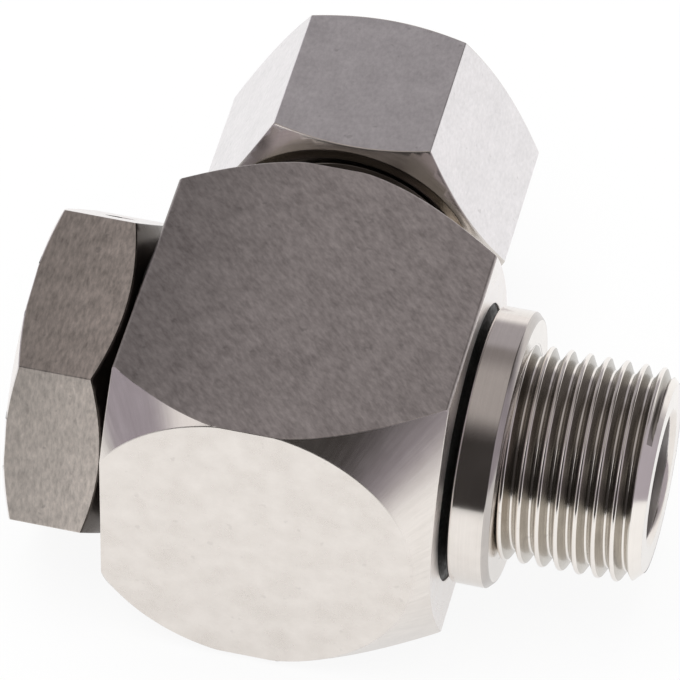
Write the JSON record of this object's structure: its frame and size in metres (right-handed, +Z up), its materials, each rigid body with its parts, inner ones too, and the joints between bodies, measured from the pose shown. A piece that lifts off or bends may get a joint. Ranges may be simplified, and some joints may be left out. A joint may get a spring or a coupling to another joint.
{
  "type": "hydraulic rotary union",
  "caption": "Elbow rotary union: a square housing with a tube fitting and union nut turns on ball bearings about a hollow stem with a hexagon and a male port thread.",
  "frame": {"origin": "on the stem axis, in the plane where the collar seats on the port", "axes": "+X along the stem out of the port thread's free end, +Y along the tube out of the union nut, +Z up"},
  "size_m": [0.0608, 0.0589, 0.0334],
  "materials": {
    "steel": "turned and milled",
    "bearing_steel": "ground",
    "black_rubber": "moulded",
    "slide_ring": "turned",
    "cage_plastic": "moulded"
  },
  "bodies": {
    "stem": {"stem": "steel", "hex_cap": "steel", "lock_pin": "steel", "right_inner_race": "bearing_steel", "left_inner_race": "bearing_steel"},
    "housing": {"housing": "steel", "right_outer_race": "bearing_steel", "left_outer_race": "bearing_steel", "right_seal_ring": "slide_ring", "left_seal_ring": "slide_ring", "right_o_ring": "black_rubber", "left_o_ring": "black_rubber", "right_wiper": "black_rubber", "left_dust_shield": "black_rubber"},
    "right_ball_set": {"right_balls": "bearing_steel", "right_cage": "cage_plastic"},
    "left_ball_set": {"left_balls": "bearing_steel", "left_cage": "cage_plastic"},
    "cutting_ring": {"cutting_ring": "steel"},
    "union_nut": {"union_nut": "steel"}
  },
  "joints": [
    {"name": "housing_swivel", "type": "hinge", "parent": "stem", "child": "housing", "pos_m": [-0.0223, 0, 0], "axis": [1, 0, 0], "continuous": true},
    {"name": "right_ball_orbit", "type": "hinge", "parent": "stem", "child": "right_ball_set", "pos_m": [-0.0114, 0, 0], "axis": [1, 0, 0], "continuous": true},
    {"name": "left_ball_orbit", "type": "hinge", "parent": "stem", "child": "left_ball_set", "pos_m": [-0.0332, 0, 0], "axis": [1, 0, 0], "continuous": true},
    {"name": "ring_slide", "type": "slide", "parent": "housing", "child": "cutting_ring", "axis": [0, 1, 0], "range_m": [0, 0.0075]},
    {"name": "nut_turn", "type": "hinge", "parent": "cutting_ring", "child": "union_nut", "pos_m": [-0.0223, 0.0313, 0], "axis": [0, 1, 0], "range_deg": [0, 1800]}
  ],
  "couplings": [
    {"joint": "right_ball_orbit", "follows": "housing_swivel", "ratio": 0.56977},
    {"joint": "left_ball_orbit", "follows": "housing_swivel", "ratio": 0.57692},
    {"joint": "ring_slide", "follows": "nut_turn", "m_per_rad": 0.00023873}
  ]
}
